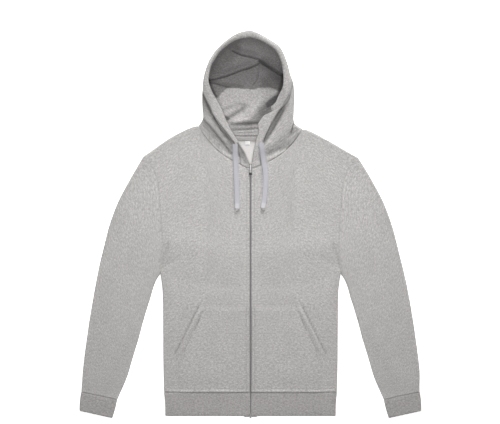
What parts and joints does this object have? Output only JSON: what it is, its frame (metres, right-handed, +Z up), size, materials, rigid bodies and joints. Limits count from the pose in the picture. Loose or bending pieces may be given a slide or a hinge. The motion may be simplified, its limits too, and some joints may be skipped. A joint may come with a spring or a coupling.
{
  "type": "zip up hoodie",
  "caption": "Zip-front hooded sweatshirt laid flat on its back: open hood with flat drawcords, front pouch pockets, ribbed hem and cuffs, and a metal zip with a swinging pull tab.",
  "frame": {"origin": "on the surface it lies on, under the middle of the garment's outline", "axes": "+Z up from the surface, +Y from the hem towards the hood, +X towards the wearer's left"},
  "size_m": [0.8534, 0.9639, 0.048],
  "materials": {
    "body_knit": "heather grey loop-back sweatshirt knit, fine jersey face",
    "hood_knit": "the same heather grey knit, single layer, twin topstitched casing",
    "rib_knit": "heather grey one-by-one rib knit, a little darker than the body",
    "woven_tape": "grey woven twill tape",
    "label": "blank white woven satin label",
    "zip_teeth": "dark grey moulded zip teeth",
    "zip_metal": "nickel-plated slider, pull tab and bottom stop",
    "cord": "flat braided cord in pale blue-grey",
    "cord_tip": "pale bound cord end"
  },
  "bodies": {
    "garment": {"back_panel": "body_knit", "front_panel_l": "body_knit", "front_panel_r": "body_knit", "sleeve_l": "body_knit", "sleeve_r": "body_knit", "cuff_l": "rib_knit", "cuff_r": "rib_knit", "hem_rib": "rib_knit", "pocket_l": "body_knit", "pocket_r": "body_knit", "hood_l": "hood_knit", "hood_r": "hood_knit", "hood_band": "hood_knit", "neck_tape": "woven_tape", "neck_label": "label", "zip_tape_l": "woven_tape", "zip_tape_r": "woven_tape", "zip_chain": "zip_teeth", "zip_slider": "zip_metal", "zip_bottom_stop": "zip_metal", "cord_l": "cord", "cord_r": "cord", "cord_tip_l": "cord_tip", "cord_tip_r": "cord_tip"},
    "pull_tab": {"zip_pull": "zip_metal"}
  },
  "joints": [
    {"name": "pull_hinge", "type": "hinge", "parent": "garment", "child": "pull_tab", "pos_m": [0, 0.13, 0.0111], "axis": [1, 0, 0], "range_deg": [0, 180]}
  ]
}
